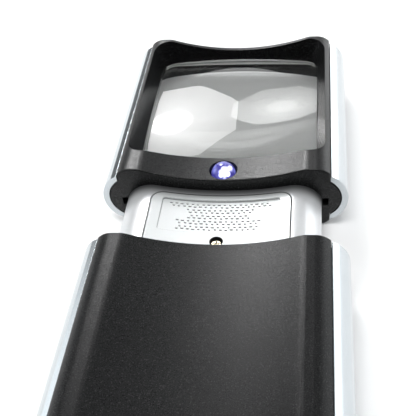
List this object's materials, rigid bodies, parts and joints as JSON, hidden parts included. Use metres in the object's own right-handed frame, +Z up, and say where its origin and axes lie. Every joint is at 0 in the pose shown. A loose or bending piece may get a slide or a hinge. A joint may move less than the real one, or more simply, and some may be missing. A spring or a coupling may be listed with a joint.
{
  "type": "banknote checking magnifier",
  "caption": "Pocket slide-out magnifier with a violet lamp for checking banknotes: a case, a sliding head with a large lens, and a battery compartment.",
  "frame": {"origin": "under the middle of the object as it rests, pulled out by 17.8 mm, on the surface it lies on", "axes": "+X across the lens, +Y along the slide from the case towards the lens head, +Z up out of the side with the lamp and the battery door"},
  "size_m": [0.0502, 0.1174, 0.015],
  "materials": {
    "shell_black": "fine sandblasted",
    "frame_black": "fine sandblasted",
    "rail_silver": "satin anodised",
    "slider_silver": "satin silver paint",
    "door_silver": "satin silver paint",
    "lens_clear": "polished clear acrylic",
    "lamp_violet": "clear, lit violet",
    "screw_nickel": "plated",
    "brass": "bright",
    "spring_steel": "nickel plated",
    "cell_steel": "bright",
    "board_green": "solder mask",
    "resistor_black": "ceramic",
    "wire_red": "insulation",
    "wire_black": "insulation"
  },
  "bodies": {
    "case": {"case_upper_shell": "shell_black", "case_lower_shell": "shell_black", "case_rail_right": "rail_silver", "case_rail_left": "rail_silver", "switch_strip": "brass"},
    "head": {"slider_cover": "slider_silver", "slider_tray": "slider_silver", "battery_door": "door_silver", "door_screw": "screw_nickel", "door_insert": "brass", "coin_cell_right": "cell_steel", "coin_cell_left": "cell_steel", "cell_bridge": "spring_steel", "contact_left": "spring_steel", "contact_right": "spring_steel", "wiper_right": "spring_steel", "wire_right": "wire_red", "wire_left": "wire_black", "head_upper_frame": "frame_black", "head_lower_frame": "frame_black", "head_rail_right": "rail_silver", "head_rail_left": "rail_silver", "lens": "lens_clear", "lamp": "lamp_violet", "lamp_legs": "spring_steel", "circuit_board": "board_green", "resistor": "resistor_black"}
  },
  "joints": [
    {"name": "head_slide", "type": "slide", "parent": "case", "child": "head", "axis": [0, 1, 0], "range_m": [-0.0177, 0.004]}
  ]
}
